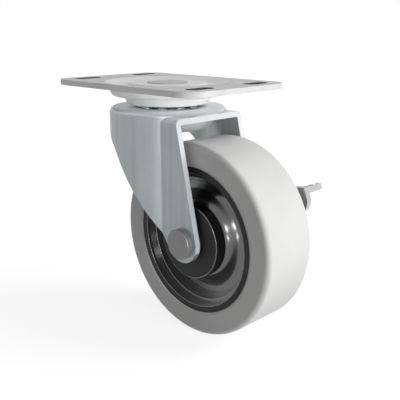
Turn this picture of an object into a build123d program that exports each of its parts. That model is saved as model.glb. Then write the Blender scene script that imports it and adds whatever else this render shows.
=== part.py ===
"""Swivel castor with a slotted top plate, a double ball swivel head, a pressed fork and a side brake.

Millimetres, +Z up. The swivel axis is Z, and z = 0 is the plate's mounting face. The wheel trails
towards +Y and its axle lies along X. Distances across the castor are counted from the wheel's middle
towards the brake, which is on the -X leg.
"""
import math
import os

from build123d import *

# Top plate
plate_length = 160.0
plate_width = 108.0
plate_thick = 4.2
plate_corner_r = 15.3
slot_spacing_x = 60.0
slot_spacing_y = 130.0
slot_length = 24.0
slot_width = 11.0
recess_r = 50.0
recess_foot_r = 37.6
recess_depth = 2.8
boss_r = 30.0
boss_drop = 1.5
drum_r = 45.5
drum_root_r = 2.6
drum_depth = 11.0
hub_top_r = 35.6
hub_r = 31.8
hub_depth = 17.4
hub_edge_r = 2.5

# Kingpin and its nut
pin_head_r = 16.0
pin_head_flat_r = 13.0
pin_head_drop = 0.3
pin_head_edge = 0.5
pin_r = 9.0
pin_thread_r = 6.0
thread_chamfer = 1.0
pin_washer_r = 10.6
pin_washer_thick = 1.8
nut_sides = 6
nut_flats = 19.0
nut_height = 10.0
nut_chamfer_deg = 30.0
thread_end = 2.0

# Ball races of the swivel head
ball_d = 8.0
ball_play = 0.05
upper_race_gap = 5.3
upper_pitch_r = 21.5
upper_balls_n = 10
lower_race_gap = 6.9
lower_pitch_r = 26.5
lower_balls_n = 12
race_sheet = 3.2
race_r = 37.2
race_bend_r = 10.0
race_rim_gap = 1.3

# Fork
fork_sheet = 4.4
ring_rise = 3.35
ring_top_r = 42.3
ring_hole_r = 26.5
ring_hole_slope = 1.5
ring_foot_drop = 3.75
ring_inner_r = 35.0
fork_hole_r = 16.5
wall_r = 46.6
front_lip = 0.2
bend_r = 4.2
bend_inner_r = 1.2
crease_r = 2.0
trail = 51.4
foot_r = 15.0
back_edge_drop = 11.9
back_slant = 55.0
back_round = 40.0

# Wheel
wheel_d = 150.0
wheel_width = 50.0
wheel_side_gap = 5.9
wheel_race_gap = 2.9
tread_depth = 16.4
shoulder_r = 3.8
tread_lip = 1.6
tread_lip_slope = 0.8
key_height = 3.6
key_top_half = 11.0
key_foot_half = 15.0
rim_face_w = 5.1
step_depth = 5.9
step_w = 4.05
taper_depth = 9.1
taper_w = 3.35
floor_w = 4.2
hub_end_gap = 2.9
barrel_r = 29.0
barrel_root_side = 18.3
web_floor_slope = 0.12
web_root_slope = 0.55
barrel_edge_r = 0.8
core_edge_r = 0.7

# Axle and roller bearing
axle_r = 6.0
axle_head_r = 11.4
axle_head_h = 4.2
axle_head_edge = 0.5
sleeve_wall = 2.0
roller_d = 4.0
roller_n = 10
roller_length = 44.0
cage_wall = 2.6
cage_end = 4.0
cage_play = 0.25
liner_wall = 0.9
liner_inset = 2.0
hub_washer_r = 13.2
hub_washer_play = 0.25
washer_r = 14.0
washer_thick = 2.5

# Side brake
lever_sheet = 5.0
lever_hub_r = 20.0
lever_boss_r = 14.0
lever_nose_r = 10.3
lever_nose_out = 48.5
lever_nose_up = 28.1
bush_wall = 3.0
pedal_front_out = 55.0
pedal_front_up = 39.1
pedal_slope = 22.0
pedal_length = 27.0
pedal_reach = 20.6
pedal_thick = 4.7
pedal_corner_r = 4.0
stud_r = 1.7
stud_top_r = 1.0
stud_h = 0.8
stud_rows = 4
stud_columns = 3
brake_travel = 1.6
arm_sheet = 2.6
arm_ring_r = 19.0
arm_end_r = 8.0
plunger_out = -11.4
plunger_r = 4.0
rivet_r = 3.0
plunger_flange_r = 5.6
plunger_flange_h = 1.8
pad_r = 6.0
pad_play = 0.2

# Clearances
side_play = 0.3
running_play = 0.05
press_play = 0.03
cut_past = 1.0
same = 0.01

# Places that follow from the sizes above
hub_z = -hub_depth
drum_root_z = -plate_thick - drum_root_r
drum_edge_r = drum_depth - plate_thick - drum_root_r
web_top_z = hub_z - upper_race_gap
web_under_z = web_top_z - fork_sheet
ring_top_z = web_top_z + ring_rise
race_floor_z = web_under_z - lower_race_gap
race_bottom_z = race_floor_z - race_sheet
race_rim_z = web_under_z - race_rim_gap
upper_ball_z = hub_z - upper_race_gap / 2
lower_ball_z = web_under_z - lower_race_gap / 2
pin_nut_z = race_bottom_z - pin_washer_thick
pin_end_z = pin_nut_z - nut_height - thread_end

wheel_r = wheel_d / 2
wheel_half = wheel_width / 2
axle_z = race_bottom_z - wheel_race_gap - wheel_r
leg_inner = wheel_half + wheel_side_gap
leg_outer = leg_inner + fork_sheet
wall_inner_r = wall_r - fork_sheet
web_front = wall_r + front_lip
hub_half = leg_inner - hub_end_gap
back_edge_z = web_under_z - back_edge_drop

sleeve_r = axle_r + running_play + sleeve_wall
roller_pitch_r = sleeve_r + running_play + roller_d / 2
liner_inner_r = sleeve_r + roller_d + 2 * running_play
liner_r = liner_inner_r + liner_wall

lever_boss_side = leg_outer + side_play
arm_side = leg_outer + brake_travel + pad_play
lever_side = arm_side + arm_sheet + side_play
lever_outer = lever_side + lever_sheet
bush_end = lever_outer + side_play
washer_end = bush_end + washer_thick
nut_end = washer_end + nut_height
pad_face = wheel_half + brake_travel + pad_play
plunger_flange_side = leg_inner - side_play - plunger_flange_h
plunger_up = math.sqrt((wheel_r - shoulder_r - pad_r) ** 2 - plunger_out ** 2)


def turned(*lines):
    """Turn a closed outline, drawn as (radius, height), about Z."""
    return revolve(Plane.XZ * make_face(Curve() + list(lines)), Axis.Z)


def outline(*points):
    """Turn the closed polygon of (radius, height) points about Z."""
    return turned(Polyline(*points, close=True))


def quarter_arc(start, end, centre):
    """Arc of a quarter turn from start to end about centre."""
    share = math.sqrt(0.5)
    middle = tuple(c + (s - c + e - c) * share for s, e, c in zip(start, end, centre))
    return ThreePointArc(start, middle, end)


def round_edges(shape, radius, height):
    """Round edges of a turned shape with this radius, at this height."""
    return shape.edges().filter_by(GeomType.CIRCLE).filter_by(
        lambda e: abs(e.radius - radius) < same and abs(e.center().Z - height) < same
    )


def ring(r_out, r_in, low, high):
    """A plain washer or tube about Z."""
    return outline((r_in, low), (r_out, low), (r_out, high), (r_in, high))


def on_axle(shape, side=0.0):
    """Lay a shape made about Z on the wheel's axle, its heights now towards the brake."""
    return Pos(-side, trail, axle_z) * Rot(0, -90, 0) * shape


def side_plate(sketch, low, high):
    """Extrude a side view, drawn as (y, z), between two distances towards the brake."""
    return extrude(Plane.YZ.offset(-high) * sketch, amount=high - low)


def hex_nut(flats, height, bore_r):
    """A hexagon nut standing on z = 0, its corners chamfered by the usual cone."""
    corner_r = flats / 2 / math.cos(math.pi / nut_sides)
    blank = extrude(RegularPolygon(corner_r, nut_sides), amount=height)
    chamfer = (corner_r - flats / 2) * math.tan(math.radians(nut_chamfer_deg))
    cone = outline(
        (0, 0),
        (flats / 2, 0),
        (corner_r, chamfer),
        (corner_r, height - chamfer),
        (flats / 2, height),
        (0, height),
    )
    return (blank & cone) - Cylinder(bore_r, 4 * height)


def tangent_point(centre, radius, start, side):
    """Where the line from start touches the circle, on its side +1 or -1."""
    dx = start[0] - centre[0]
    dz = start[1] - centre[1]
    reach = math.hypot(dx, dz)
    turn = math.atan2(dz, dx) + side * math.acos(radius / reach)
    return centre[0] + radius * math.cos(turn), centre[1] + radius * math.sin(turn)


def ball_groove(pitch_r, height):
    """The ring-shaped track that a row of balls runs in."""
    return Pos(0, 0, height) * Torus(pitch_r, ball_d / 2 + ball_play)


def ball_row(count, pitch_r, height):
    """One row of balls about the swivel axis."""
    return [Pos(0, 0, height) * loc * Sphere(ball_d / 2) for loc in PolarLocations(pitch_r, count)]


def top_plate():
    """Flat slotted flange with the forged recess above and the stepped race hub below."""
    slab = extrude(RectangleRounded(plate_width, plate_length, plate_corner_r), amount=-plate_thick)
    shelf_r = drum_r - drum_edge_r
    hub = turned(
        Polyline((0, 0), (recess_r, 0), (recess_r, -plate_thick), (drum_r + drum_root_r, -plate_thick)),
        quarter_arc(
            (drum_r + drum_root_r, -plate_thick), (drum_r, drum_root_z), (drum_r + drum_root_r, drum_root_z)
        ),
        quarter_arc((drum_r, drum_root_z), (shelf_r, -drum_depth), (shelf_r, drum_root_z)),
        Polyline((shelf_r, -drum_depth), (hub_top_r, -drum_depth), (hub_r, hub_z), (0, hub_z), (0, 0)),
    )
    hub = fillet(round_edges(hub, hub_r, hub_z), hub_edge_r)
    recess = outline(
        (0, cut_past),
        (recess_r, cut_past),
        (recess_r, 0),
        (recess_foot_r, -recess_depth),
        (boss_r + recess_depth - boss_drop, -recess_depth),
        (boss_r, -boss_drop),
        (0, -boss_drop),
    )
    slot = extrude(SlotOverall(slot_length, slot_width), amount=-3 * plate_thick, both=True)
    slots = [loc * slot for loc in GridLocations(slot_spacing_x, slot_spacing_y, 2, 2)]
    bore = Cylinder(pin_r + press_play, 4 * hub_depth)
    return slab + hub - recess - slots - bore - ball_groove(upper_pitch_r, upper_ball_z)


def kingpin():
    """Pin with a low chamfered head, a shoulder for the lower race and a threaded end."""
    return outline(
        (0, -pin_head_drop),
        (pin_head_flat_r, -pin_head_drop),
        (pin_head_r, -pin_head_drop - pin_head_edge),
        (pin_head_r, -boss_drop),
        (pin_r, -boss_drop),
        (pin_r, race_floor_z),
        (pin_thread_r, race_floor_z),
        (pin_thread_r, pin_end_z + thread_chamfer),
        (pin_thread_r - thread_chamfer, pin_end_z),
        (0, pin_end_z),
    )


def lower_race():
    """Pressed dish that carries the lower ball row against the fork's web."""
    inner_r = race_r - race_sheet
    flat_r = race_r - race_bend_r
    bend_z = race_bottom_z + race_bend_r
    hole_r = pin_thread_r + press_play
    dish = turned(
        Line((hole_r, race_bottom_z), (flat_r, race_bottom_z)),
        quarter_arc((flat_r, race_bottom_z), (race_r, bend_z), (flat_r, bend_z)),
        Polyline((race_r, bend_z), (race_r, race_rim_z), (inner_r, race_rim_z), (inner_r, bend_z)),
        quarter_arc((inner_r, bend_z), (flat_r, race_floor_z), (flat_r, bend_z)),
        Polyline((flat_r, race_floor_z), (hole_r, race_floor_z), (hole_r, race_bottom_z)),
    )
    return dish - ball_groove(lower_pitch_r, lower_ball_z)


def fork_side():
    """Side view of the fork: straight front edges, round feet and a slanted back edge."""
    foot = (trail, axle_z)
    front_top = (web_front, web_under_z)
    front_touch = tangent_point(foot, foot_r, front_top, -1)
    slant = math.radians(back_slant)
    back_touch = (trail - foot_r * math.sin(slant), axle_z - foot_r * math.cos(slant))
    rise = (back_edge_z - back_touch[1]) / math.sin(slant)
    knee = (back_touch[0] - rise * math.cos(slant), back_edge_z)
    back = -2 * wall_r
    panel = make_face(
        Polyline(
            (web_front, 0), front_top, front_touch, foot, back_touch, knee, (back, back_edge_z), (back, 0),
            close=True,
        )
    )
    at_knee = panel.vertices().sort_by_distance((knee[0], knee[1], 0))[0]
    return fillet(at_knee, back_round) + Pos(*foot) * Circle(foot_r)


def fork_plan(wall, leg, reach):
    """Plan view: a round wall about the swivel axis running into two straight legs."""
    return Circle(wall) + Pos(0, reach / 2) * Rectangle(2 * leg, reach)


def fork():
    """Pressed sheet fork with a raised race ring, a round back wall and two flat legs."""
    reach = trail + 2 * foot_r
    low_z = axle_z - 2 * foot_r
    shell = Pos(0, 0, low_z) * extrude(fork_plan(wall_r, leg_outer, reach), amount=web_top_z - low_z)
    creases = shell.edges().filter_by(Axis.Z).filter_by(lambda e: 0 < e.center().Y < wall_r)
    shell = fillet(creases, crease_r)
    top_edges = shell.faces().sort_by(Axis.Z)[-1].edges()
    shell = fillet(top_edges.filter_by(lambda e: e.center().Y < reach - same), bend_r)
    cavity = Pos(0, 0, low_z - cut_past) * extrude(
        fork_plan(wall_inner_r, leg_inner, reach + cut_past), amount=web_under_z - low_z + cut_past
    )
    roof_edges = cavity.faces().sort_by(Axis.Z)[-1].edges()
    cavity = fillet(roof_edges.filter_by(lambda e: e.center().Y < reach), bend_inner_r)

    ring_foot_z = ring_top_z - ring_foot_drop
    ring_top = turned(
        Polyline(
            (wall_r, ring_foot_z), (wall_r, web_under_z), (0, web_under_z), (0, ring_top_z),
            (ring_top_r, ring_top_z),
        ),
        quarter_arc((ring_top_r, ring_top_z), (wall_r, ring_foot_z), (ring_top_r, ring_foot_z)),
    )
    hollow = outline(
        (0, ring_top_z + cut_past),
        (ring_hole_r, ring_top_z + cut_past),
        (ring_hole_r, ring_top_z),
        (ring_hole_r - ring_hole_slope, web_top_z),
        (0, web_top_z),
    )
    under_ring = outline(
        (ring_inner_r, web_under_z - cut_past),
        (ring_top_r - ring_hole_slope, web_under_z - cut_past),
        (ring_top_r - 2 * ring_hole_slope, ring_top_z - fork_sheet),
        (ring_inner_r + ring_hole_slope, ring_top_z - fork_sheet),
    )
    body = shell + ring_top - hollow - cavity - under_ring - Cylinder(fork_hole_r, 4 * hub_depth)
    body = body - ball_groove(upper_pitch_r, upper_ball_z) - ball_groove(lower_pitch_r, lower_ball_z)
    body = body & side_plate(fork_side(), -2 * wall_r, 2 * wall_r)
    body = body - on_axle(Cylinder(axle_r + running_play, 4 * leg_outer))
    plunger_hole = Cylinder(plunger_r + running_play, 2 * fork_sheet)
    return body - Pos(0, plunger_out, plunger_up) * on_axle(plunger_hole, leg_inner + fork_sheet / 2)


def core_half_outline():
    """Points (radius, side) of the core's section on one side, from the tread's key to the bore."""
    core_r = wheel_r - tread_depth
    rim_r = core_r - tread_lip
    rim_y = wheel_half - tread_lip_slope
    step_r = rim_r - rim_face_w
    taper_r = step_r - step_w
    floor_r = taper_r - taper_w
    return {
        "key_top": (rim_r + key_height, key_top_half),
        "key_foot": (rim_r, key_foot_half),
        "rim_out": (rim_r, rim_y),
        "rim_in": (step_r, rim_y),
        "step_out": (step_r, rim_y - step_depth),
        "step_in": (taper_r, rim_y - step_depth),
        "floor_out": (floor_r, rim_y - step_depth - taper_depth),
        "floor_in": (floor_r - floor_w, rim_y - step_depth - taper_depth),
        "barrel_root": (barrel_r, barrel_root_side),
        "barrel_end": (barrel_r, hub_half),
        "bore": (liner_r + press_play, hub_half),
    }


def wheel_core():
    """Moulded core: stepped rim, domed web and a long hub barrel, the same on both sides."""
    p = core_half_outline()
    half = turned(
        Polyline(
            (p["bore"][0], 0), (p["key_top"][0], 0), p["key_top"], p["key_foot"], p["rim_out"], p["rim_in"],
            p["step_out"], p["step_in"], p["floor_out"], p["floor_in"],
        ),
        Spline(p["floor_in"], p["barrel_root"], tangents=((-1, web_floor_slope), (-1, web_root_slope))),
        Polyline(p["barrel_root"], p["barrel_end"], p["bore"], (p["bore"][0], 0)),
    )
    half = fillet(round_edges(half, barrel_r, hub_half), barrel_edge_r)
    step_edges = round_edges(half, *p["rim_in"]) + round_edges(half, *p["step_in"])
    half = fillet(step_edges, core_edge_r)
    return on_axle(half + mirror(half, Plane.XY))


def tread():
    """Elastic tyre moulded round the core's key, with rounded shoulders."""
    p = core_half_outline()
    core_r = wheel_r - tread_depth
    half = outline(
        (p["key_top"][0], 0),
        p["key_top"],
        p["key_foot"],
        p["rim_out"],
        (core_r, wheel_half),
        (wheel_r, wheel_half),
        (wheel_r, 0),
    )
    shoulder = round_edges(half, wheel_r, wheel_half)
    half = fillet(shoulder, shoulder_r)
    return on_axle(half + mirror(half, Plane.XY))


def axle_bolt():
    """Bolt through both legs with a plain round head on the near leg."""
    end = nut_end + thread_end
    return on_axle(
        outline(
            (0, -leg_outer - axle_head_h),
            (axle_head_r - axle_head_edge, -leg_outer - axle_head_h),
            (axle_head_r, -leg_outer - axle_head_h + axle_head_edge),
            (axle_head_r, -leg_outer),
            (axle_r, -leg_outer),
            (axle_r, end - thread_chamfer),
            (axle_r - thread_chamfer, end),
            (0, end),
        )
    )


def roller_cage():
    """Tube with one long window for each roller."""
    half = roller_length / 2 + cage_end
    tube = ring(roller_pitch_r + cage_wall / 2, roller_pitch_r - cage_wall / 2, -half, half)
    window = Box(4 * cage_wall, roller_d + 2 * cage_play, roller_length + 2 * cage_play)
    return on_axle(tube - [loc * window for loc in PolarLocations(roller_pitch_r, roller_n)])


def rollers():
    """Long rollers lying round the sleeve."""
    roller = Cylinder(roller_d / 2, roller_length)
    return [on_axle(loc * roller) for loc in PolarLocations(roller_pitch_r, roller_n)]


def pedal_studs():
    """Low round grip studs in rows on the pedal."""
    pitch_x = pedal_reach / stud_columns
    pitch_y = pedal_length / stud_rows
    stud = Cone(stud_r, stud_top_r, stud_h, align=(Align.CENTER, Align.CENTER, Align.MIN))
    return [loc * stud for loc in GridLocations(pitch_x, pitch_y, stud_columns, stud_rows)]


def brake_lever():
    """Sheet lever on the axle with a boss behind it and a foot pedal bent out at its nose."""
    slope = math.radians(pedal_slope)
    back = (
        pedal_front_out - pedal_length * math.cos(slope),
        pedal_front_up - pedal_length * math.sin(slope),
    )
    front_low = (pedal_front_out, pedal_front_up - pedal_thick)
    web = make_hull(
        (
            Circle(lever_hub_r) + Pos(lever_nose_out, lever_nose_up) * Circle(lever_nose_r)
        ).edges() + Polyline(back, (pedal_front_out, pedal_front_up), front_low, back).edges()
    )
    plate = Pos(0, trail, axle_z) * side_plate(web, lever_side, lever_outer)

    reach = lever_sheet + pedal_reach
    pedal = Box(reach, pedal_length, pedal_thick, align=(Align.MAX, Align.MAX, Align.MAX))
    tips = pedal.edges().filter_by(Axis.Z).group_by(Axis.X)[0]
    pedal = fillet(tips, pedal_corner_r)
    studs = Pos(-lever_sheet - pedal_reach / 2, -pedal_length / 2, 0) * Compound(pedal_studs())
    pedal = pedal + list(studs.solids())
    pedal = Rot(pedal_slope, 0, 0) * pedal
    pedal = Pos(-lever_side, trail + pedal_front_out, axle_z + pedal_front_up) * pedal

    boss = on_axle(ring(lever_boss_r, 0, lever_boss_side, lever_outer))
    bore = on_axle(Cylinder(axle_r + bush_wall + running_play, 4 * lever_outer))
    return plate + pedal + boss - bore


def brake_arm():
    """Strip beside the leg that the turning lever's boss pushes towards the wheel."""
    web = make_hull((Circle(arm_ring_r) + Pos(plunger_out, plunger_up) * Circle(arm_end_r)).edges())
    plate = Pos(0, trail, axle_z) * side_plate(web, arm_side, arm_side + arm_sheet)
    plate = plate - on_axle(Cylinder(lever_boss_r + running_play, 4 * lever_outer))
    rivet_hole = Cylinder(rivet_r + press_play, 4 * arm_sheet)
    return plate - Pos(0, plunger_out, plunger_up) * on_axle(rivet_hole, arm_side)


def brake_plunger():
    """Pin through the leg, shouldered under the arm, with a flange that backs the pad."""
    pin = outline(
        (0, plunger_flange_side),
        (plunger_flange_r, plunger_flange_side),
        (plunger_flange_r, plunger_flange_side + plunger_flange_h),
        (plunger_r, plunger_flange_side + plunger_flange_h),
        (plunger_r, arm_side),
        (rivet_r, arm_side),
        (rivet_r, arm_side + arm_sheet),
        (0, arm_side + arm_sheet),
    )
    return Pos(0, plunger_out, plunger_up) * on_axle(pin)


def brake_pad():
    """Rubber disc on the plunger's flange that meets the tyre's side."""
    return Pos(0, plunger_out, plunger_up) * on_axle(ring(pad_r, 0, pad_face, plunger_flange_side))


def both_sides(shape):
    """A piece beside the wheel and its mirror image on the other side."""
    return [shape, mirror(shape, Plane.YZ)]


def build():
    """Every node of the castor by name."""
    nut_bore = pin_thread_r + press_play
    axle_bore = axle_r + press_play
    hub_washer = on_axle(ring(hub_washer_r, sleeve_r + running_play, hub_half + hub_washer_play, leg_inner))
    return {
        "top_plate": top_plate(),
        "kingpin": kingpin(),
        "kingpin_washer": ring(pin_washer_r, nut_bore, pin_nut_z, race_bottom_z),
        "kingpin_nut": Pos(0, 0, pin_nut_z - nut_height) * hex_nut(nut_flats, nut_height, nut_bore),
        "lower_race": lower_race(),
        "upper_balls": ball_row(upper_balls_n, upper_pitch_r, upper_ball_z),
        "lower_balls": ball_row(lower_balls_n, lower_pitch_r, lower_ball_z),
        "fork": fork(),
        "wheel_core": wheel_core(),
        "tread": tread(),
        "hub_liner": on_axle(ring(liner_r, liner_inner_r, -hub_half + liner_inset, hub_half - liner_inset)),
        "bearing_rollers": rollers(),
        "roller_cage": roller_cage(),
        "axle_sleeve": on_axle(ring(sleeve_r, axle_r + running_play, -leg_inner, leg_inner)),
        "hub_washers": both_sides(hub_washer),
        "axle_bolt": axle_bolt(),
        "axle_washer": on_axle(ring(washer_r, axle_bore, bush_end, washer_end)),
        "axle_nut": on_axle(Pos(0, 0, washer_end) * hex_nut(nut_flats, nut_height, axle_bore)),
        "brake_bush": on_axle(ring(axle_r + bush_wall, axle_bore, leg_outer, bush_end)),
        "brake_lever": brake_lever(),
        "brake_arm": brake_arm(),
        "brake_plunger": brake_plunger(),
        "brake_pad": brake_pad(),
    }


os.makedirs("parts", exist_ok=True)
for name, made in build().items():
    shape = Compound(made) if isinstance(made, list) else made
    export_step(shape, f"parts/{name}.step")
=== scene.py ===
"""Looks of a swivel castor: a finish for every solid, turned pins with cut threads, studio and camera.

Metres, in the frame of the solids: +Z up out of the plate's mounting face, the wheel trailing to +Y,
its axle along X and the brake on the -X leg.
"""
from __future__ import annotations

import logging
import math
from dataclasses import dataclass
from enum import Enum

import bpy
from mathutils import Matrix, Vector


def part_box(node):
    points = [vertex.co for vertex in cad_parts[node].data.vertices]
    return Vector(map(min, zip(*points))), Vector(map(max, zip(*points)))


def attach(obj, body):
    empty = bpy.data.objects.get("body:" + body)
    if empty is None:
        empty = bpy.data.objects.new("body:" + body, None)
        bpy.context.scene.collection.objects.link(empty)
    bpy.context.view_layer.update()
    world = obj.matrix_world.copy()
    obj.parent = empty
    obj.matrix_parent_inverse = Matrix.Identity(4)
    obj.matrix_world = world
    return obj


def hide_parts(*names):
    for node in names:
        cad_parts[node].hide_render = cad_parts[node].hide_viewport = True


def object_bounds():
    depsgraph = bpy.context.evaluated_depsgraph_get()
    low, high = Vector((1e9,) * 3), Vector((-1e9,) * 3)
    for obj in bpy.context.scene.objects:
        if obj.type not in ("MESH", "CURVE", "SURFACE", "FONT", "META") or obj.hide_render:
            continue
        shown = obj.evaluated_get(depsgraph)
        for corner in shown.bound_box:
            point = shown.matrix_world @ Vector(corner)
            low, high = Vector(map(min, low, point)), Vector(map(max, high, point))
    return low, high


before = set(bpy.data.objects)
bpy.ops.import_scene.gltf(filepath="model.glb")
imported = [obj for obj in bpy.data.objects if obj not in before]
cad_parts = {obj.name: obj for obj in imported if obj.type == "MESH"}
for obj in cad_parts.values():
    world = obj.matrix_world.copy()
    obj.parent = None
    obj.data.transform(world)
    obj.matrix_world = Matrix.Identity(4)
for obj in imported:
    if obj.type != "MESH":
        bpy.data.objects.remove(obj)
cad_low, cad_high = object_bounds()

Point = tuple[float, float, float]
Span = tuple[float, float]
Colour = tuple[float, float, float, float]
Sockets = dict[int | str, object]

LOG = logging.getLogger("castor")
MM = 0.001
ORIGIN: Point = (0.0, 0.0, 0.0)
SMOOTH_ANGLE = math.radians(32.0)
BEVEL_SAMPLES = 4

# Middle of a pattern that runs from nought to one
MIDDLE = 0.5

# Curve of screen colours, straight for the darkest steps and a power above them
SRGB_STEPS = 255
SRGB_STRAIGHT_TO = 0.04045
SRGB_SLOPE = 12.92
SRGB_LIFT = 0.055
SRGB_POWER = 2.4


def srgb(code: str) -> Colour:
    """Turn a screen colour into linear light.

    Args:
        code: The colour as six hex digits, such as "8F9596".

    Returns:
        Red, green, blue and an opaque alpha.
    """
    light = []
    for start in (0, 2, 4):
        step = int(code[start:start + 2], 16) / SRGB_STEPS
        if step <= SRGB_STRAIGHT_TO:
            light.append(step / SRGB_SLOPE)
        else:
            light.append(((step + SRGB_LIFT) / (1 + SRGB_LIFT)) ** SRGB_POWER)
    red, green, blue = light
    return (red, green, blue, 1.0)


class Axis(Enum):
    """Direction that a part was turned, drawn or rolled along."""

    X = 0
    Y = 1
    Z = 2


class Signal:
    """One output socket of a material, with arithmetic that adds its own Math nodes."""

    def __init__(self, shader: Shader, socket: bpy.types.NodeSocket) -> None:
        """Keep the socket and the material it belongs to."""
        self.shader = shader
        self.socket = socket

    def math(self, operation: str, first: Signal | float, second: Signal | float = 0.0) -> Signal:
        """Join two values by a Math node; an operation on one value leaves the second unused."""
        return self.shader.node("ShaderNodeMath", {"operation": operation}, {0: first, 1: second})

    def __add__(self, other: Signal | float) -> Signal:
        """Add."""
        return self.math("ADD", self, other)

    def __radd__(self, other: float) -> Signal:
        """Add, with a number on the left."""
        return self.math("ADD", other, self)

    def __sub__(self, other: Signal | float) -> Signal:
        """Subtract."""
        return self.math("SUBTRACT", self, other)

    def __rsub__(self, other: float) -> Signal:
        """Subtract from a number."""
        return self.math("SUBTRACT", other, self)

    def __mul__(self, other: Signal | float) -> Signal:
        """Multiply."""
        return self.math("MULTIPLY", self, other)

    def __rmul__(self, other: float) -> Signal:
        """Multiply, with a number on the left."""
        return self.math("MULTIPLY", other, self)

    def larger(self, other: Signal | float) -> Signal:
        """Take the larger of two values."""
        return self.math("MAXIMUM", self, other)

    def smaller(self, other: Signal | float) -> Signal:
        """Take the smaller of two values."""
        return self.math("MINIMUM", self, other)

    def ramp(self, start: float, end: float) -> Signal:
        """Rise smoothly from nought at one value to one at another.

        Args:
            start: The value that gives nought.
            end: The value that gives one, below the start for a fall.

        Returns:
            The rise, held to its ends outside them.
        """
        settings = {"interpolation_type": "SMOOTHSTEP"}
        if start < end:
            return self.shader.node("ShaderNodeMapRange", settings, {0: self, 1: start, 2: end})
        return 1.0 - self.shader.node("ShaderNodeMapRange", settings, {0: self, 1: end, 2: start})

    def sine(self) -> Signal:
        """Take the sine."""
        return self.math("SINE", self)


class Shader:
    """The node tree of one material or of the world."""

    def __init__(self, tree: bpy.types.NodeTree) -> None:
        """Start from an empty tree."""
        self.tree = tree
        self.tree.nodes.clear()

    def node(
        self,
        kind: str,
        settings: dict[str, object] | None = None,
        sockets: Sockets | None = None,
        out: int | str = 0,
    ) -> Signal:
        """Add any node.

        Args:
            kind: The node's type.
            settings: Properties of the node, set before its sockets.
            sockets: Values or links of its input sockets, by name or place.
            out: The output socket that is used.

        Returns:
            That output socket.
        """
        made = self.tree.nodes.new(kind)
        for key, value in (settings or {}).items():
            setattr(made, key, value)
        for key, value in (sockets or {}).items():
            if isinstance(value, Signal):
                self.tree.links.new(value.socket, made.inputs[key])
            else:
                made.inputs[key].default_value = value
        return Signal(self, made.outputs[out])

    def place(self) -> Signal:
        """Give the point on the piece, in metres of the shared frame."""
        return self.node("ShaderNodeTexCoord", out="Object")

    def facing(self, axis: Axis) -> Signal:
        """Tell how squarely the surface faces along an axis, from -1 to 1."""
        normal = self.node("ShaderNodeTexCoord", out="Normal")
        return self.node("ShaderNodeSeparateXYZ", {}, {0: normal}, axis.value)

    def scaled(self, vector: Signal, factor: Point) -> Signal:
        """Stretch a pattern's coordinates, axis by axis."""
        return self.node("ShaderNodeVectorMath", {"operation": "MULTIPLY"}, {0: vector, 1: factor})

    def noise(self, vector: Signal, scale: float, detail: float) -> Signal:
        """Give a soft random pattern round one half, its scale in blobs to the metre."""
        return self.node("ShaderNodeTexNoise", {}, {"Vector": vector, "Scale": scale, "Detail": detail})

    def layered(self, base: float, layers: list[tuple[Signal, float]]) -> Signal | float:
        """Add patterns to a base value.

        Args:
            base: The value where every pattern is at its middle.
            layers: Each pattern with what its full swing adds.

        Returns:
            The sum.
        """
        total: Signal | float = base
        for pattern, swing in layers:
            total = total + (pattern - MIDDLE) * swing
        return total

    def radius(self, vector: Signal, axis: Axis, centre: Point) -> Signal:
        """Give the distance from an axis.

        Args:
            vector: The point.
            axis: The axis' direction.
            centre: A point on the axis.

        Returns:
            The distance, in metres.
        """
        flat = tuple(0.0 if i == axis.value else 1.0 for i in range(3))
        moved = self.node("ShaderNodeVectorMath", {"operation": "SUBTRACT"}, {0: vector, 1: centre})
        across = self.scaled(moved, flat)
        return self.node("ShaderNodeVectorMath", {"operation": "LENGTH"}, {0: across}, "Value")

    def blended(self, share: Signal | float, low: Colour | Signal, high: Colour | Signal) -> Signal:
        """Mix two colours by a share."""
        return self.node("ShaderNodeMix", {"data_type": "RGBA"}, {0: share, 6: low, 7: high}, 2)

    def bump(self, height: Signal, depth: float, edge: float) -> Signal:
        """Turn a height pattern into a normal.

        Args:
            height: The pattern, from 0 to 1.
            depth: The depth of its full swing, in metres.
            edge: Radius at which sharp edges catch light, in metres.

        Returns:
            The bent normal.
        """
        rounded = self.node("ShaderNodeBevel", {"samples": BEVEL_SAMPLES}, {"Radius": edge})
        return self.node("ShaderNodeBump", {}, {
            "Height": height, "Distance": depth, "Strength": 1.0, "Normal": rounded,
        })

    def surface(self, kind: str, sockets: Sockets) -> None:
        """End the tree in one shader.

        Args:
            kind: The type of the shader's node.
            sockets: Its inputs, each by name or number.
        """
        made = self.node(kind, {}, sockets)
        output = self.tree.nodes.new("ShaderNodeOutputMaterial")
        self.tree.links.new(made.socket, output.inputs["Surface"])


def new_shader(name: str) -> tuple[bpy.types.Material, Shader]:
    """Make an empty node material.

    Args:
        name: The material's name.

    Returns:
        The material and its tree.
    """
    made = bpy.data.materials.new(name)
    made.use_nodes = True
    return made, Shader(made.node_tree)


@dataclass(frozen=True)
class Layer:
    """One pattern of a finish and how strongly it works.

    Attributes:
        scale: Its blobs to the metre, before any stretch.
        detail: Finer layers laid over it.
        tint: What its full swing adds to the share of the lighter colour.
        rough: What its full swing adds to the roughness.
        relief: Its share of the relief.
    """

    scale: float
    detail: float
    tint: float = 0.0
    rough: float = 0.0
    relief: float = 0.0

    def drawn(self, shader: Shader, vector: Signal) -> Signal:
        """Draw the pattern in a material."""
        return shader.noise(vector, self.scale, self.detail)


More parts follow.
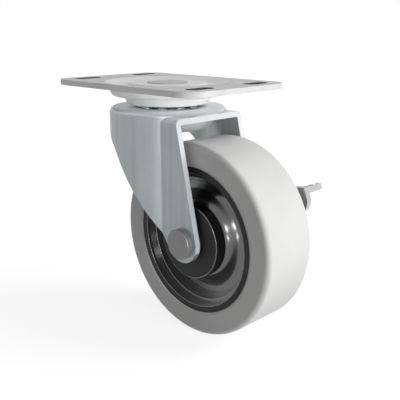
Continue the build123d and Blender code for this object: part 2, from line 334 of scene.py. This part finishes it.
@dataclass(frozen=True)
class Steel:
    """Plated or polished steel with the marks of how it was made.

    Attributes:
        name: The finish's name.
        low: Colour of its darker patches.
        high: Colour of its lighter patches.
        roughness: How soft its reflections are.
        metallic: Share of the metal's own reflection.
        grain: Marks to the metre along each axis; a small number draws them out that way.
        bands: Broad bands to the metre along each axis, drawn out in the same way.
        depth: Depth of those marks, in metres.
        edge: Radius at which its sharp edges catch light, in metres.
        cloud_layer: Soft patches of the plating.
        marks_layer: Detail of the marks and how strongly they work.
        bands_layer: Detail of the bands and how strongly they work.
        speck_layer: Fine grain of the plating.
    """

    name: str
    low: str
    high: str
    roughness: float = 0.35
    metallic: float = 0.6
    grain: Point = (900.0, 900.0, 900.0)
    bands: Point = (90.0, 30.0, 90.0)
    depth: float = 0.01 * MM
    edge: float = 0.4 * MM
    cloud_layer: Layer = Layer(38.0, 4.0, tint=1.2, rough=0.16)
    marks_layer: Layer = Layer(1.0, 3.0, tint=0.8, rough=0.14, relief=0.7)
    bands_layer: Layer = Layer(1.0, 1.0, tint=1.6, rough=-0.3)
    speck_layer: Layer = Layer(2600.0, 2.0, relief=0.3)

    def colour(self, shader: Shader, share: Signal) -> Signal:
        """Colour the surface by the share of its lighter patches."""
        return shader.blended(share, srgb(self.low), srgb(self.high))

    def torn(self, shader: Shader) -> Signal | float:
        """Give what is added to the roughness where a tool tore the metal."""
        return 0.0

    def material(self) -> bpy.types.Material:
        """Build the finish.

        Returns:
            Its material.
        """
        made, shader = new_shader(self.name)
        place = shader.place()
        cloud = self.cloud_layer.drawn(shader, place)
        marks = self.marks_layer.drawn(shader, shader.scaled(place, self.grain))
        bands = self.bands_layer.drawn(shader, shader.scaled(place, self.bands))
        speck = self.speck_layer.drawn(shader, place)
        patterns = ((cloud, self.cloud_layer), (marks, self.marks_layer), (bands, self.bands_layer))
        share = shader.layered(MIDDLE, [(pattern, layer.tint) for pattern, layer in patterns])
        rough = shader.layered(self.roughness, [(pattern, layer.rough) for pattern, layer in patterns])
        relief = marks * self.marks_layer.relief + speck * self.speck_layer.relief
        shader.surface("ShaderNodeBsdfPrincipled", {
            "Base Color": self.colour(shader, share),
            "Metallic": self.metallic,
            "Roughness": rough + self.torn(shader),
            "Normal": shader.bump(relief, self.depth, self.edge),
        })
        return made


@dataclass(frozen=True)
class CutSheet(Steel):
    """Plated sheet whose sheared front edges and upward faces are painted lighter, as light falling from
    the front and from above.

    Attributes:
        cut: Colour of the sheared edges that face the front: their bare steel, painted lighter as the light
            falling from the front.
        tear: What shearing adds to their roughness.
        painted_top_light: Colour painted on what faces up, as light falling from above.
        front_span: How squarely a face looks to the front where it starts to count and counts fully.
        top_span: The same for a face that looks up.
    """

    cut: str = "E6EAEC"
    tear: float = 0.35
    painted_top_light: str = "F2F9FB"
    front_span: Span = (0.9, 0.97)
    top_span: Span = (0.1, 0.8)

    def colour(self, shader: Shader, share: Signal) -> Signal:
        """Paint what faces the front and what faces up lighter, as light falling from the front and from
        above.

        Args:
            shader: The finish's tree.
            share: The patterns' share of the lighter colour.

        Returns:
            The colour.
        """
        # Painted light: faces that look to the front, the sheared edges, are painted lighter as the light
        # falling from the front.
        front = shader.facing(Axis.Y).ramp(*self.front_span)
        # Painted light: faces that look up are painted lighter as the light falling from above.
        top = shader.facing(Axis.Z).ramp(*self.top_span)
        with_top_light = shader.blended(top, super().colour(shader, share), srgb(self.painted_top_light))
        return shader.blended(front, with_top_light, srgb(self.cut))

    def torn(self, shader: Shader) -> Signal:
        """Roughen the sheared front edges."""
        return shader.facing(Axis.Y).ramp(*self.front_span) * self.tear


@dataclass(frozen=True)
class ForgedPlate(Steel):
    """Forged plate, satin on its faces, with a painted highlight in its recess, its turned hub painted near
    white as light in the shade under the plate, and painted shade on its slots' walls.

    Attributes:
        hub: Colour of the turned hub, painted near white as light in the shade under the plate.
        hub_top: Height at which it starts.
        recess: Colour of the recess, painted lighter than the plate as a highlight.
        round_r: Radius inside which both lie.
        painted_slot_shade: Colour of the slots' walls, painted dark as the shade inside the slots.
        slots_x: Distance from the middle inside which the slots lie, along X.
        slots_y: The same along Y.
        lip: Height at which the recess starts.
        fade: Distance over which one colour runs into another.
        rim_fade: The same at the round's rim.
        wall_span: Square of how squarely a face looks up, where it starts to be a wall and where it
            is one.
    """

    hub: str = "FAFAFA"
    hub_top: float = -5.2 * MM
    recess: str = "ECECEC"
    round_r: float = 50.0 * MM
    painted_slot_shade: str = "4A4A4A"
    slots_x: float = 46.0 * MM
    slots_y: float = 73.0 * MM
    lip: float = -0.05 * MM
    fade: float = 0.3 * MM
    rim_fade: float = 0.5 * MM
    wall_span: Span = (0.5, 0.3)

    def within_slots(self, along: Signal, across: Signal) -> Signal:
        """Mark the rectangle that the slots lie in, from a point's places along X and Y."""
        inside = (along * along).ramp(self.slots_x ** 2, (self.slots_x - MM) ** 2)
        return inside * (across * across).ramp(self.slots_y ** 2, (self.slots_y - MM) ** 2)

    def colour(self, shader: Shader, share: Signal) -> Signal:
        """Paint the recess lighter as a highlight, the hub near white as light under the plate, and the
        slots' walls dark as their shade.

        Args:
            shader: The finish's tree.
            share: The patterns' share of the lighter colour.

        Returns:
            The colour.
        """
        place = shader.place()
        along, across, height = (
            shader.node("ShaderNodeSeparateXYZ", {}, {0: place}, axis.value) for axis in Axis
        )
        away = shader.radius(place, Axis.Z, ORIGIN)
        within = away.ramp(self.round_r, self.round_r - self.rim_fade)
        # Painted highlight: the recess is painted lighter than the plate.
        sunk = height.ramp(self.lip, -self.fade) * within
        # Painted light: the turned hub under the plate is painted near white against the shade there.
        below = height.ramp(self.hub_top, self.hub_top - self.fade) * within
        level = shader.facing(Axis.Z)
        # Painted shade: the walls inside the slots are painted dark.
        walls = self.within_slots(along, across) * (level * level).ramp(*self.wall_span) * (1.0 - within)
        with_recess_highlight = shader.blended(sunk, super().colour(shader, share), srgb(self.recess))
        with_turned_hub_light = shader.blended(below, with_recess_highlight, srgb(self.hub))
        return shader.blended(walls, with_turned_hub_light, srgb(self.painted_slot_shade))


@dataclass(frozen=True)
class TurnedSteel:
    """Steel with fine rings left by the lathe or the press.

    Attributes:
        name: The finish's name.
        low: Colour of its darker patches.
        high: Colour of its lighter patches.
        axis: The axis that the rings lie round.
        centre: A point on that axis.
        roughness: How soft its reflections are.
        metallic: Share of the metal's own reflection.
        ring_pitch: Distance from ring to ring, in metres.
        depth: Depth of the rings, in metres.
        edge: Radius at which its sharp edges catch light, in metres.
        cloud_layer: Soft patches of the surface.
        wander_layer: Pattern by which the rings stray from true.
        wander: How far they stray, in radians of a ring.
        ring_tint: What a ring adds to the share of the lighter colour.
        ring_rough: What it adds to the roughness.
    """

    name: str
    low: str
    high: str
    axis: Axis
    centre: Point = ORIGIN
    roughness: float = 0.25
    metallic: float = 0.9
    ring_pitch: float = 0.6 * MM
    depth: float = 0.004 * MM
    edge: float = 0.3 * MM
    cloud_layer: Layer = Layer(60.0, 4.0, tint=1.2, rough=0.14)
    wander_layer: Layer = Layer(300.0, 2.0)
    wander: float = 3.0
    ring_tint: float = 0.16
    ring_rough: float = 0.05

    def material(self) -> bpy.types.Material:
        """Build the finish.

        Returns:
            Its material.
        """
        made, shader = new_shader(self.name)
        place = shader.place()
        cloud = self.cloud_layer.drawn(shader, place)
        stray = self.wander_layer.drawn(shader, place) * self.wander
        turns = shader.radius(place, self.axis, self.centre) * (2 * math.pi / self.ring_pitch)
        rings = MIDDLE + (turns + stray).sine() * MIDDLE
        share = shader.layered(MIDDLE, [(cloud, self.cloud_layer.tint), (rings, self.ring_tint)])
        swings = [(cloud, self.cloud_layer.rough), (rings, self.ring_rough)]
        shader.surface("ShaderNodeBsdfPrincipled", {
            "Base Color": shader.blended(share, srgb(self.low), srgb(self.high)),
            "Metallic": self.metallic,
            "Roughness": shader.layered(self.roughness, swings),
            "Normal": shader.bump(rings, self.depth, self.edge),
        })
        return made


@dataclass(frozen=True)
class Moulded:
    """Rubber or plastic as it leaves its mould.

    Attributes:
        name: The finish's name.
        low: Colour of its darker patches.
        high: Colour of its lighter patches.
        roughness: How soft its reflections are.
        skin_depth: Depth of its skin, in metres.
        wave_depth: Depth of the slow waves under its gloss, in metres.
        edge: Radius at which its sharp edges catch light, in metres.
        coat: Share of clear gloss on top.
        coat_index: Refractive index of that gloss.
        coat_roughness: How soft that gloss's reflections are.
        gloss: Strength of its reflection, one half on most plastics.
        matt_rough: What a matt face adds to the roughness.
        cloud_layer: Soft patches of the surface.
        skin_layer: Pores of its skin and how strongly they work.
        wave_layer: Pattern of the slow waves.
    """

    name: str
    low: str
    high: str
    roughness: float
    skin_depth: float = 0.02 * MM
    wave_depth: float = 0.02 * MM
    edge: float = 0.5 * MM
    coat: float = 0.0
    coat_index: float = 1.5
    coat_roughness: float = 0.2
    gloss: float = 0.5
    matt_rough: float = 0.4
    cloud_layer: Layer = Layer(30.0, 4.0, tint=1.4, rough=0.10)
    skin_layer: Layer = Layer(1500.0, 3.0, rough=0.08)
    wave_layer: Layer = Layer(110.0, 1.0)

    def matt(self, shader: Shader) -> Signal | float:
        """Mark what is matt, from 0 to 1."""
        return 0.0

    def material(self) -> bpy.types.Material:
        """Build the finish.

        Returns:
            Its material.
        """
        made, shader = new_shader(self.name)
        place = shader.place()
        cloud = self.cloud_layer.drawn(shader, place)
        skin = self.skin_layer.drawn(shader, place)
        wave = self.wave_layer.drawn(shader, place)
        height = skin * (self.skin_depth / MM) + wave * (self.wave_depth / MM)
        matt = self.matt(shader)
        share = shader.layered(MIDDLE, [(cloud, self.cloud_layer.tint)])
        swings = [(cloud, self.cloud_layer.rough), (skin, self.skin_layer.rough)]
        shader.surface("ShaderNodeBsdfPrincipled", {
            "Base Color": shader.blended(share, srgb(self.low), srgb(self.high)),
            "Roughness": shader.layered(self.roughness, swings) + matt * self.matt_rough,
            "Specular IOR Level": self.gloss,
            "Coat Weight": self.coat - self.coat * matt,
            "Coat Roughness": self.coat_roughness,
            "Coat IOR": self.coat_index,
            "Normal": shader.bump(height, MM, self.edge),
        })
        return made


@dataclass(frozen=True)
class MouldedCore(Moulded):
    """Glossy core whose hub ends and rim faces are matt.

    Attributes:
        flat_x: Distance from the wheel's middle plane past which its faces are matt.
        flat_fade: How much farther, in squares of the distance, they are fully matt.
        square_span: Square of how squarely a face looks along the axle, where it starts to be matt
            and where it is.
    """

    flat_x: float = 19.5 * MM
    flat_fade: float = 1.05
    square_span: Span = (0.93, 0.985)

    def matt(self, shader: Shader) -> Signal:
        """Mark the faces that stand square to the axle and far out.

        Args:
            shader: The finish's tree.

        Returns:
            One on them, nought elsewhere.
        """
        out = shader.node("ShaderNodeSeparateXYZ", {}, {0: shader.place()}, Axis.X.value)
        far = (out * out).ramp(self.flat_x ** 2, self.flat_fade * self.flat_x ** 2)
        square = shader.facing(Axis.X)
        return (square * square).ramp(*self.square_span) * far


def axis_point(node: str) -> Point:
    """Give the point of a solid's own axis along X that lies on the wheel's middle plane.

    Args:
        node: The solid's name.

    Returns:
        The point.
    """
    low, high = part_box(node)
    centre = (low + high) / 2
    return (0.0, centre.y, centre.z)


def dress(node: str, material: bpy.types.Material) -> None:
    """Give a solid its finish.

    Args:
        node: The solid's name.
        material: Its finish.
    """
    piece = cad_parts[node]
    if not piece.material_slots:
        piece.data.materials.append(material)
    for slot in piece.material_slots:
        slot.material = material
    LOG.info("%s dressed in %s", node, material.name)


def select_only(piece: bpy.types.Object) -> None:
    """Make one object the only selected and the active one.

    Args:
        piece: The object.
    """
    bpy.ops.object.select_all(action="DESELECT")
    piece.select_set(True)
    bpy.context.view_layer.objects.active = piece


def turned_blank(name: str, stations: list[tuple[float, float]], sides: int = 96) -> bpy.types.Object:
    """Turn a closed body about Z by extruding a round face from station to station.

    Args:
        name: The piece's name.
        stations: Radius and height of each station, in metres, from the top down.
        sides: Sides of the round.

    Returns:
        The finished body, at the origin.
    """
    radius, height = stations[0]
    bpy.ops.object.select_all(action="DESELECT")
    bpy.ops.mesh.primitive_circle_add(vertices=sides, radius=radius, fill_type="NGON")
    piece = bpy.context.object
    piece.name = name
    bpy.ops.object.mode_set(mode="EDIT")
    bpy.ops.mesh.select_all(action="SELECT")
    bpy.ops.transform.translate(value=(0.0, 0.0, height))
    for next_radius, next_height in stations[1:]:
        drop = (0.0, 0.0, next_height - height)
        bpy.ops.mesh.extrude_region_move(TRANSFORM_OT_translate={"value": drop})
        grow = next_radius / radius
        bpy.ops.transform.resize(value=(grow, grow, 1.0), center_override=(0.0, 0.0, next_height))
        radius, height = next_radius, next_height
    bpy.ops.mesh.select_all(action="SELECT")
    bpy.ops.mesh.normals_make_consistent(inside=False)
    bpy.ops.object.mode_set(mode="OBJECT")
    return piece


@dataclass
class Thread:
    """A thread cut round a shank by a coil of triangular section.

    Attributes:
        major_r: Radius of its crests.
        pitch: Rise of one turn.
        top: Height at which it starts.
        end: Height of the pin's end.
        steps: Sides of one turn.
        depth_share: Depth of the groove, in pitches.
        overcut: How far the cutter stands out of the crests and how wide these stay, in pitches.
        root_drop: How far down its turn the groove's root lies, in pitches.
    """

    major_r: float
    pitch: float
    top: float
    end: float
    steps: int = 36
    depth_share: float = 0.61
    overcut: float = 0.06
    root_drop: float = 0.5

    def cutter(self, name: str) -> bpy.types.Object:
        """Wind the coil that cuts the groove, from the thread's top to one turn past the pin's end.

        Args:
            name: The coil's name.

        Returns:
            The coil, a closed body.
        """
        outer = self.major_r + self.overcut * self.pitch
        root = self.major_r - self.depth_share * self.pitch
        corners = [(root, self.root_drop), (outer, self.overcut), (outer, 1.0 - self.overcut)]
        bpy.ops.object.select_all(action="DESELECT")
        bpy.ops.mesh.primitive_circle_add(vertices=len(corners), radius=self.pitch / 2)
        coil = bpy.context.object
        coil.name = name
        for vertex, (radius, drop) in zip(coil.data.vertices, corners):
            vertex.co = (radius, 0.0, self.top - drop * self.pitch)
        select_only(coil)
        winding = coil.modifiers.new("winding", "SCREW")
        winding.axis = "Z"
        winding.angle = 2 * math.pi
        winding.screw_offset = -self.pitch
        winding.iterations = math.ceil((self.top - self.end) / self.pitch) + 1
        winding.steps = self.steps
        winding.render_steps = self.steps
        bpy.ops.object.modifier_apply(modifier=winding.name)
        bpy.ops.object.mode_set(mode="EDIT")
        bpy.ops.mesh.select_all(action="SELECT")
        bpy.ops.mesh.fill_holes(sides=len(corners))
        bpy.ops.mesh.select_all(action="SELECT")
        bpy.ops.mesh.normals_make_consistent(inside=False)
        bpy.ops.object.mode_set(mode="OBJECT")
        return coil


@dataclass
class Pin:
    """A turned pin with a thread cut on its end, its axis along Z and its head up.

    Attributes:
        name: The piece's name.
        node: The solid it stands for.
        body: The body it rides on.
        slot: The record's slot of its finish; not used.
        stations: Radius and height of its turned length, in metres, from its top to its end.
        thread: The thread on its end.
        place: The pin's place and turn in the frame.
    """

    name: str
    node: str
    body: str
    slot: str
    stations: list[tuple[float, float]]
    thread: Thread
    place: Matrix

    def build(self, material: bpy.types.Material) -> bpy.types.Object:
        """Turn the pin, cut its thread and put it in place.

        Args:
            material: Its finish.

        Returns:
            The finished piece.
        """
        piece = turned_blank(self.name, self.stations)
        coil = self.thread.cutter(f"{self.name}_cutter")
        select_only(piece)
        joint = piece.modifiers.new("thread", "BOOLEAN")
        joint.operation = "DIFFERENCE"
        joint.solver = "EXACT"
        joint.object = coil
        bpy.ops.object.modifier_apply(modifier=joint.name)
        bpy.data.objects.remove(coil)
        piece.matrix_world = self.place
        bpy.ops.object.transform_apply(location=True, rotation=True, scale=True)
        bpy.ops.object.shade_smooth_by_angle(angle=SMOOTH_ANGLE)
        piece.data.materials.append(material)
        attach(piece, self.body)
        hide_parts(self.node)
        LOG.info("%s built, %d faces", self.name, len(piece.data.polygons))
        return piece


ZINC_PLATE = ForgedPlate(
    "plate_zinc", "CBCBCB", "D9D9D9", roughness=0.62, metallic=0.2, grain=(1800.0, 40.0, 1800.0)
)
ZINC_FORK = CutSheet(
    "fork_zinc", "A0A6A8", "B0B6B8", roughness=0.38, metallic=0.5, grain=(1500.0, 1500.0, 35.0),
    bands=(150.0, 150.0, 4.0),
)
ZINC_BRAKE = Steel("brake_zinc", "B6B8B9", "C4C6C7", roughness=0.50, grain=(1600.0, 60.0, 1600.0))
TREAD = Moulded("elastic_tread", "C8C8C7", "D1D1D0", roughness=0.42, wave_depth=0.03 * MM)
CORE = MouldedCore(
    "core_black", "0C0C0E", "141417", roughness=0.18, skin_depth=0.004 * MM, wave_depth=0.012 * MM,
    coat=1.0, coat_index=1.9, gloss=0.3, skin_layer=Layer(3200.0, 3.0, rough=0.08),
)
CAGE = Moulded("cage_polyamide", "2A2A2B", "343435", roughness=0.45)
PAD = Moulded("pad_rubber", "161616", "202020", roughness=0.6)


@dataclass
class SwivelHead:
    """Top plate, kingpin with its nut, the two races and their balls.

    Attributes:
        head_flat_r: Radius of the flat on the kingpin's head.
        head_r: Radius of the head.
        head_edge: Drop of the head's rim from its flat.
        seat: Height of the boss that the head sits on.
        shank_r: Radius of the shank.
        thread_r: Radius of the thread's crests.
        pitch: Rise of the thread.
        chamfer: Chamfer of the thread's end.
        race_sheet: Thickness of the race that the thread passes through.
    """

    head_flat_r: float = 13.0 * MM
    head_r: float = 16.0 * MM
    head_edge: float = 0.5 * MM
    seat: float = -1.5 * MM
    shank_r: float = 9.0 * MM
    thread_r: float = 6.0 * MM
    pitch: float = 1.75 * MM
    chamfer: float = 1.0 * MM
    race_sheet: float = 3.2 * MM

    def build(self) -> None:
        """Build the kingpin with its thread, from the height of its solid and of the race's floor."""
        low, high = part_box("kingpin")
        race_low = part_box("lower_race")[0].z
        floor = race_low + self.race_sheet
        stations = [
            (self.head_flat_r, high.z),
            (self.head_r, high.z - self.head_edge),
            (self.head_r, self.seat),
            (self.shank_r, self.seat),
            (self.shank_r, floor),
            (self.thread_r, floor),
            (self.thread_r, low.z + self.chamfer),
            (self.thread_r - self.chamfer, low.z),
        ]
        thread = Thread(self.thread_r, self.pitch, race_low, low.z)
        finish = TurnedSteel("kingpin_zinc", "B0B0B0", "C0C0C0", Axis.Z, roughness=0.58, metallic=0.5)
        pin = Pin(
            "kingpin_turned", "kingpin", "plate", "plate_steel", stations, thread, Matrix.Identity(4)
        )
        pin.build(finish.material())

    def dress(self) -> None:
        """Give the head's solids their finishes."""
        dress("top_plate", ZINC_PLATE.material())
        race = TurnedSteel("race_polished", "E4E6E6", "EEF0F0", Axis.Z, roughness=0.22, metallic=0.5)
        dress("lower_race", race.material())
        fastener = TurnedSteel("nut_zinc", "A0A0A0", "AEAEAE", Axis.Z, roughness=0.32)
        material = fastener.material()
        dress("kingpin_washer", material)
        dress("kingpin_nut", material)
        balls = TurnedSteel("ball_chrome", "BEBFC1", "C8C9CB", Axis.Z, roughness=0.08, depth=0.0005 * MM)
        material = balls.material()
        dress("upper_balls", material)
        dress("lower_balls", material)


@dataclass
class ForkAndAxle:
    """The fork stamped from sheet and the axle bolt with all that it clamps.

    Attributes:
        head_r: Radius of the bolt's plain head.
        head_h: Height of the head.
        head_edge: Chamfer round the head.
        thread_r: Radius of the shank and the thread's crests.
        pitch: Rise of the thread.
        chamfer: Chamfer of the thread's end.
    """

    head_r: float = 11.4 * MM
    head_h: float = 4.2 * MM
    head_edge: float = 0.5 * MM
    thread_r: float = 6.0 * MM
    pitch: float = 1.75 * MM
    chamfer: float = 1.0 * MM

    def build(self) -> None:
        """Build the axle bolt, its head on the near leg and its thread at the brake."""
        low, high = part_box("axle_bolt")
        middle = axis_point("axle_bolt")
        washer_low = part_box("axle_washer")[0].x
        stations = [
            (self.head_r - self.head_edge, high.x),
            (self.head_r, high.x - self.head_edge),
            (self.head_r, high.x - self.head_h),
            (self.thread_r, high.x - self.head_h),
            (self.thread_r, low.x + self.chamfer),
            (self.thread_r - self.chamfer, low.x),
        ]
        thread = Thread(self.thread_r, self.pitch, washer_low, low.x)
        place = Matrix.Translation(middle) @ Matrix.Rotation(math.pi / 2, 4, "Y")
        finish = TurnedSteel("bolt_zinc", "868686", "929292", Axis.X, middle, roughness=0.38, metallic=0.3)
        pin = Pin("axle_bolt_turned", "axle_bolt", "fork", "fastener_steel", stations, thread, place)
        pin.build(finish.material())

    def dress(self) -> None:
        """Give the fork's and the axle's solids their finishes."""
        dress("fork", ZINC_FORK.material())
        middle = axis_point("axle_bolt")
        zinc = TurnedSteel("axle_zinc", "9C9C9C", "ACACAC", Axis.X, middle, roughness=0.32)
        material = zinc.material()
        for node in ("axle_washer", "axle_nut", "hub_washers", "brake_bush"):
            dress(node, material)
        ground = TurnedSteel("sleeve_ground", "B4B6B6", "C2C4C4", Axis.X, middle, roughness=0.18)
        dress("axle_sleeve", ground.material())


@dataclass
class Wheel:
    """Elastic tread on a moulded core, with the roller bearing in its hub."""

    def dress(self) -> None:
        """Give the wheel's and its bearing's solids their finishes."""
        dress("tread", TREAD.material())
        dress("wheel_core", CORE.material())
        middle = axis_point("tread")
        ground = TurnedSteel("bearing_ground", "B4B6B6", "C2C4C4", Axis.X, middle, roughness=0.16)
        material = ground.material()
        dress("hub_liner", material)
        dress("bearing_rollers", material)
        dress("roller_cage", CAGE.material())


@dataclass
class SideBrake:
    """Foot lever, arm, plunger and pad beside the far leg."""

    def dress(self) -> None:
        """Give the brake's solids their finishes."""
        material = ZINC_BRAKE.material()
        dress("brake_lever", material)
        dress("brake_arm", material)
        dress("brake_plunger", material)
        dress("brake_pad", PAD.material())


class Reach(Enum):
    """What a lamp adds to: the light on surfaces, their reflections or both, in that order in each pair."""

    SURFACE = (True, False)
    GLOSS = (False, True)
    BOTH = (True, True)


@dataclass(frozen=True)
class Softbox:
    """A rectangular lamp.

    Attributes:
        name: Its name.
        place: Where it hangs.
        width: Its width.
        height: Its height.
        watts: Its power.
        reach: What it adds to.
    """

    name: str
    place: Point
    width: float
    height: float
    watts: float
    reach: Reach = Reach.BOTH

    def hang(self, target: Vector) -> None:
        """Hang the lamp and turn it to the object.

        Args:
            target: The point that it faces.
        """
        lamp = bpy.data.lights.new(self.name, "AREA")
        lamp.shape = "RECTANGLE"
        lamp.size = self.width
        lamp.size_y = self.height
        lamp.energy = self.watts
        holder = bpy.data.objects.new(self.name, lamp)
        bpy.context.scene.collection.objects.link(holder)
        holder.visible_diffuse, holder.visible_glossy = self.reach.value
        holder.location = self.place
        holder.rotation_euler = (target - Vector(self.place)).to_track_quat("-Z", "Y").to_euler()


@dataclass
class Studio:
    """White floor and background, soft lamps and the camera.

    Attributes:
        floor_r: Radius of the floor.
        floor_sides: Sides of its round.
        floor_paint: Its colour.
        white: Colour of the light and of the background.
        sky: Strength of the light from all round.
        camera_place: Where the camera stands.
        camera_turn: Its turn about X, Y and Z, in degrees.
        focal_px: Its focal length, in pixels.
        frame_px: Width of the frame that those pixels belong to.
        sensor: Width of the sensor, in millimetres.
        clip_near: Distance from the lens at which things start to show.
        glow_near: White that the camera sees added to the floor at the wheel.
        glow_reach: Distance at which the floor is all white to it.
    """

    floor_r: float = 8.0
    floor_sides: int = 64
    floor_paint: str = "9C9C9C"
    white: str = "FFFFFF"
    sky: float = 0.2
    camera_place: Point = (0.3391, 0.3709, 0.0423)
    camera_turn: Point = (74.35, 0.0, 134.65)
    focal_px: float = 624.4
    frame_px: float = 400.0
    sensor: float = 36.0
    clip_near: float = 0.01
    glow_near: float = 0.82
    glow_reach: float = 1.2

    def build(self) -> None:
        """Build the floor, world, lamps and camera."""
        self.lay_floor()
        self.light_world()
        target = (cad_low + cad_high) / 2
        lamps = (
            Softbox("key_right", (-0.05, 1.5, -0.02), 1.1, 0.32, 14.5, Reach.SURFACE),
            Softbox("top_right", (-0.9, 1.0, 0.8), 0.7, 0.7, 15.0, Reach.SURFACE),
            Softbox("fill_front", (1.1, 1.1, 0.1), 0.6, 0.3, 1.9, Reach.SURFACE),
            Softbox("rim_left", (0.7, -1.3, 0.1), 0.5, 0.5, 0.3),
            Softbox("glint", (1.1, 1.1, 0.1), 0.3, 0.9, 12.0, Reach.GLOSS),
        )
        for lamp in lamps:
            lamp.hang(target)
        self.set_camera()

    def looked_at(self, shader: Shader) -> Signal:
        """Tell whether the camera sees a point, straight on or in a mirror or a glass.

        Args:
            shader: The tree that asks.

        Returns:
            One where it does, otherwise nought.
        """
        seen = shader.node("ShaderNodeLightPath", out="Is Camera Ray")
        mirrored = shader.node("ShaderNodeLightPath", out="Is Glossy Ray")
        through = shader.node("ShaderNodeLightPath", out="Is Transmission Ray")
        return seen.larger(mirrored).larger(through)

    def lay_floor(self) -> None:
        """Lay the floor under the wheel, white to the camera and keeping the shadow."""
        bpy.ops.object.select_all(action="DESELECT")
        bpy.ops.mesh.primitive_circle_add(vertices=self.floor_sides, radius=self.floor_r, fill_type="NGON")
        floor = bpy.context.object
        floor.name = "studio_floor"
        bpy.ops.object.mode_set(mode="EDIT")
        bpy.ops.mesh.select_all(action="SELECT")
        bpy.ops.mesh.inset(thickness=self.floor_r / 2, depth=0.0)
        bpy.ops.object.mode_set(mode="OBJECT")
        floor.location.z = cad_low.z
        bpy.ops.object.transform_apply(location=True)
        made, shader = new_shader("floor_white")
        paint = shader.node("ShaderNodeBsdfDiffuse", {}, {"Color": srgb(self.floor_paint)})
        away = shader.radius(shader.place(), Axis.Z, ORIGIN) * (1.0 / self.glow_reach)
        strength = self.glow_near + away.smaller(1.0) * (1.0 - self.glow_near)
        glow = shader.node("ShaderNodeEmission", {}, {"Color": srgb(self.white), "Strength": strength})
        both = shader.node("ShaderNodeAddShader", {}, {0: paint, 1: glow})
        shader.surface("ShaderNodeMixShader", {0: self.looked_at(shader), 1: paint, 2: both})
        floor.data.materials.append(made)

    def light_world(self) -> None:
        """Light from all round, and show white wherever the background is seen."""
        world = bpy.data.worlds.new("studio")
        bpy.context.scene.world = world
        world.use_nodes = True
        shader = Shader(world.node_tree)
        colour = srgb(self.white)
        light = shader.node("ShaderNodeBackground", {}, {"Color": colour, "Strength": self.sky})
        blank = shader.node("ShaderNodeBackground", {}, {"Color": colour, "Strength": 1.0})
        mixed = shader.node("ShaderNodeMixShader", {}, {0: self.looked_at(shader), 1: light, 2: blank})
        output = world.node_tree.nodes.new("ShaderNodeOutputWorld")
        world.node_tree.links.new(mixed.socket, output.inputs["Surface"])

    def set_camera(self) -> None:
        """Set the camera at the photograph's angle and choose the plain view of colours."""
        lens = bpy.data.cameras.new("camera")
        lens.sensor_width = self.sensor
        lens.lens = self.focal_px / self.frame_px * self.sensor
        lens.clip_start = self.clip_near
        camera = bpy.data.objects.new("camera", lens)
        bpy.context.scene.collection.objects.link(camera)
        camera.location = self.camera_place
        camera.rotation_euler = [math.radians(angle) for angle in self.camera_turn]
        bpy.context.scene.camera = camera
        bpy.context.scene.view_settings.view_transform = "Standard"


def main() -> None:
    """Build and dress each sub-assembly, then the studio."""
    logging.basicConfig(level=logging.INFO, format="%(name)s: %(message)s")
    Studio().build()
    head = SwivelHead()
    head.build()
    head.dress()
    axle = ForkAndAxle()
    axle.build()
    axle.dress()
    Wheel().dress()
    SideBrake().dress()


if __name__ == "__main__":
    main()
